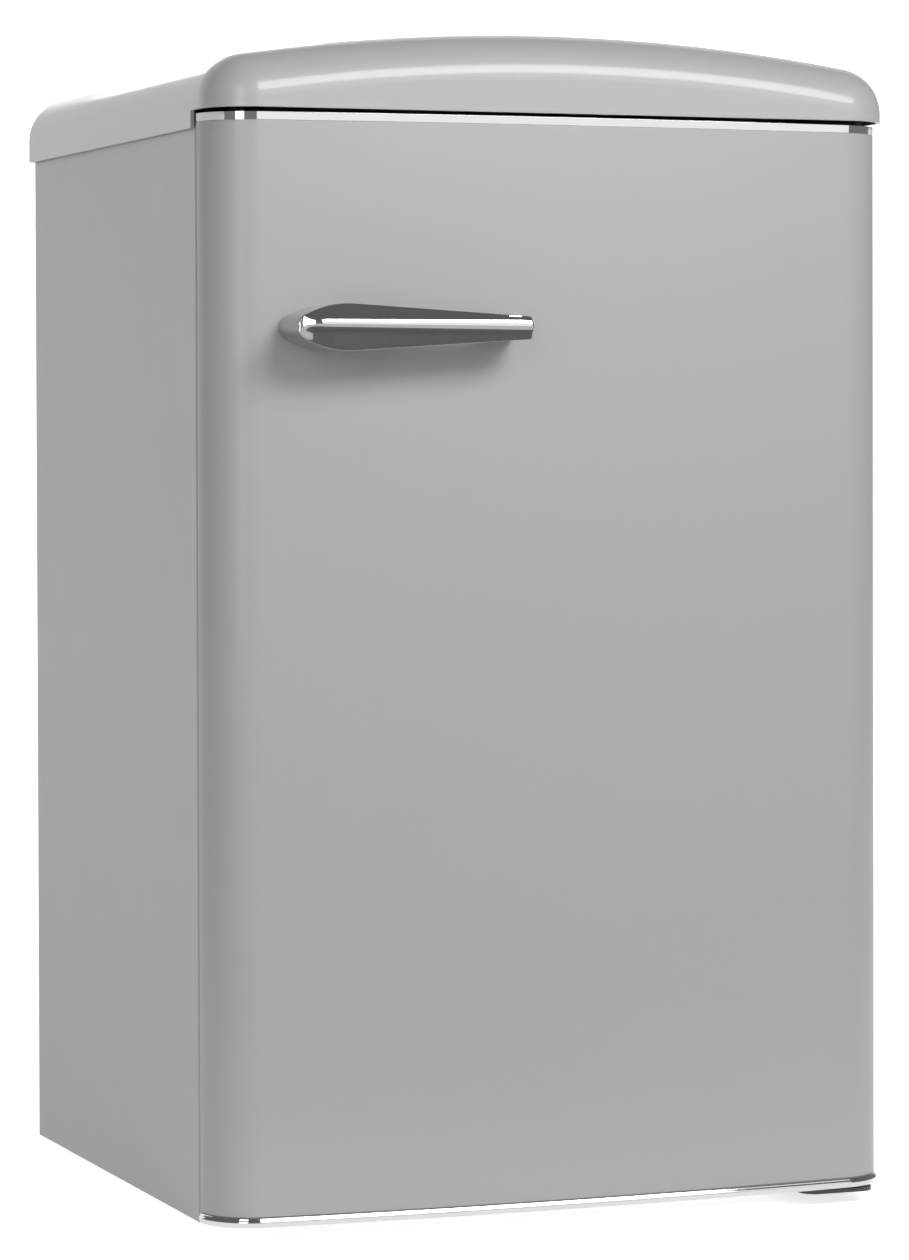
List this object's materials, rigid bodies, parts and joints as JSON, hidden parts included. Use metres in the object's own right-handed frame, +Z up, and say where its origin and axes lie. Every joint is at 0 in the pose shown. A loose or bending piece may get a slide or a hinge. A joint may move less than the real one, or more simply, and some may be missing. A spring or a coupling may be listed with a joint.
{
  "type": "mini refrigerator",
  "caption": "Undercounter fridge with a domed top, a bowed round-cornered door on a side hinge, chrome strips and a sideways chrome pull, with shelves, crisper and door bins inside.",
  "frame": {"origin": "On the floor, at the middle of the bottom of the whole bounding box.", "axes": "+Z up, the door faces -Y, +X to the right seen from the front, so the hinge is on +X."},
  "size_m": [0.552, 0.602, 0.895],
  "materials": {
    "enamel": "smooth grey enamel, semi-gloss",
    "lid_plastic": "smooth semi-gloss, same grey as the door",
    "zinc_steel": "plain zinc-coated sheet",
    "back_steel": "light grey coated sheet",
    "bracket_steel": "dark coated plate",
    "screw_steel": "zinc-plated",
    "aluminium": "plain sheet",
    "foam": "rigid foam, sealed inside",
    "liner": "white formed sheet",
    "white_plastic": "white moulding",
    "grey_plastic": "fine matt texture",
    "black_plastic": "fine matt texture",
    "foot_plastic": "fine matt texture",
    "clear_plastic": "clear moulding",
    "lens": "frosted",
    "bulb_glass": "clear",
    "shelf_glass": "clear, toughened",
    "gasket": "soft folded profile with a magnet strip",
    "soft_rubber": "soft",
    "chrome": "mirror polished",
    "compressor_black": "black lacquer",
    "condenser_black": "black lacquer",
    "copper": "bare copper tube"
  },
  "bodies": {
    "cabinet": {"outer_wrap": "enamel", "bottom_pan": "zinc_steel", "back_panel": "back_steel", "cabinet_foam": "foam", "evaporator_plate": "aluminium", "inner_liner": "liner", "lid": "lid_plastic", "lid_screws": "screw_steel", "upper_hinge": "bracket_steel", "lower_hinge": "bracket_steel", "hinge_screws": "screw_steel", "rear_feet": "foot_plastic", "compressor_plate": "zinc_steel", "compressor": "compressor_black", "compressor_grommets": "soft_rubber", "relay_cover": "black_plastic", "evaporation_tray": "black_plastic", "drain_tube": "grey_plastic", "condenser": "condenser_black", "condenser_clips": "black_plastic", "wall_spacers": "black_plastic", "filter_drier": "copper", "discharge_pipe": "copper", "capillary": "copper", "suction_pipe": "copper", "cable_gland": "soft_rubber", "glass_shelf_low": "shelf_glass", "glass_shelf_middle": "shelf_glass", "glass_shelf_top": "shelf_glass", "crisper_cover": "shelf_glass", "shelf_front_trims": "white_plastic", "shelf_rear_trims": "white_plastic", "control_housing": "white_plastic", "lamp_lens": "lens", "lamp_bulb": "bulb_glass"},
    "thermostat_knob": {"thermostat_knob": "grey_plastic"},
    "crisper_drawer": {"crisper_drawer": "clear_plastic"},
    "front_foot_left": {"front_foot_left": "foot_plastic"},
    "front_foot_right": {"front_foot_right": "foot_plastic"},
    "door": {"door_skin": "enamel", "door_foam": "foam", "door_liner": "liner", "door_gasket": "gasket", "top_trim": "chrome", "bottom_trim": "chrome", "door_top_cap": "grey_plastic", "door_bottom_cap": "grey_plastic", "hinge_bushes": "white_plastic", "handle": "chrome", "handle_screws": "screw_steel"},
    "door_bin_top": {"door_bin_top": "clear_plastic"},
    "door_bin_middle": {"door_bin_middle": "clear_plastic"},
    "door_bin_bottom": {"door_bin_bottom": "clear_plastic"}
  },
  "joints": [
    {"name": "door_hinge", "type": "hinge", "parent": "cabinet", "child": "door", "pos_m": [0.255, -0.226, 0.4], "axis": [0, 0, 1], "range_deg": [0, 120]},
    {"name": "crisper_slide", "type": "slide", "parent": "cabinet", "child": "crisper_drawer", "axis": [0, -1, 0], "range_m": [0, 0.105]},
    {"name": "bin_top_lift", "type": "slide", "parent": "door", "child": "door_bin_top", "axis": [0, 0, 1], "range_m": [0, 0.025]},
    {"name": "bin_middle_lift", "type": "slide", "parent": "door", "child": "door_bin_middle", "axis": [0, 0, 1], "range_m": [0, 0.025]},
    {"name": "bin_bottom_lift", "type": "slide", "parent": "door", "child": "door_bin_bottom", "axis": [0, 0, 1], "range_m": [0, 0.025]},
    {"name": "thermostat_turn", "type": "hinge", "parent": "cabinet", "child": "thermostat_knob", "pos_m": [0.13, -0.122, 0.754], "axis": [0, -1, 0], "range_deg": [0, 270]},
    {"name": "foot_left_turn", "type": "hinge", "parent": "cabinet", "child": "front_foot_left", "pos_m": [-0.18, -0.147, 0], "axis": [0, 0, 1], "continuous": true},
    {"name": "foot_right_turn", "type": "hinge", "parent": "cabinet", "child": "front_foot_right", "pos_m": [0.18, -0.147, 0], "axis": [0, 0, 1], "continuous": true}
  ],
  "couplings": [
    {"joint": "crisper_slide", "follows": "door_hinge", "m_per_rad": 0.05}
  ]
}
